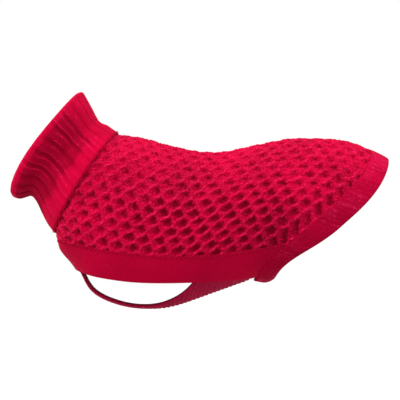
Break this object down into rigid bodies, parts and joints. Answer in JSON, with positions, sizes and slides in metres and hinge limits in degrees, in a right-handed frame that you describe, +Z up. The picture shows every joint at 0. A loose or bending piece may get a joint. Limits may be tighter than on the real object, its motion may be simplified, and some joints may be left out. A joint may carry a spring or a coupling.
{
  "type": "dog sweater",
  "caption": "Knitted sweater for a small dog, filled out as worn: ribbed turn-down collar, honeycomb body, banded hem, open leg holes and a strap between the front legs.",
  "frame": {"origin": "inside of the back panel at the withers, where the wearer's back holds the sweater up", "axes": "+X from the neck towards the tail, +Y towards the dog's right side, +Z up"},
  "size_m": [0.3769, 0.12, 0.2163],
  "materials": {
    "honeycomb_knit": "matte acrylic yarn in a honeycomb tuck stitch, lightly napped",
    "rib_collar": "matte rib knit",
    "fine_band": "matte fine-gauge knit",
    "rear_edging": "matte fine-gauge knit, ribbed across",
    "belly_rib": "matte fine rib knit"
  },
  "bodies": {
    "root": {"body_panel": "honeycomb_knit", "collar": "rib_collar", "leg_band": "fine_band", "rear_band": "rear_edging", "belly_panel": "belly_rib"}
  },
  "joints": []
}
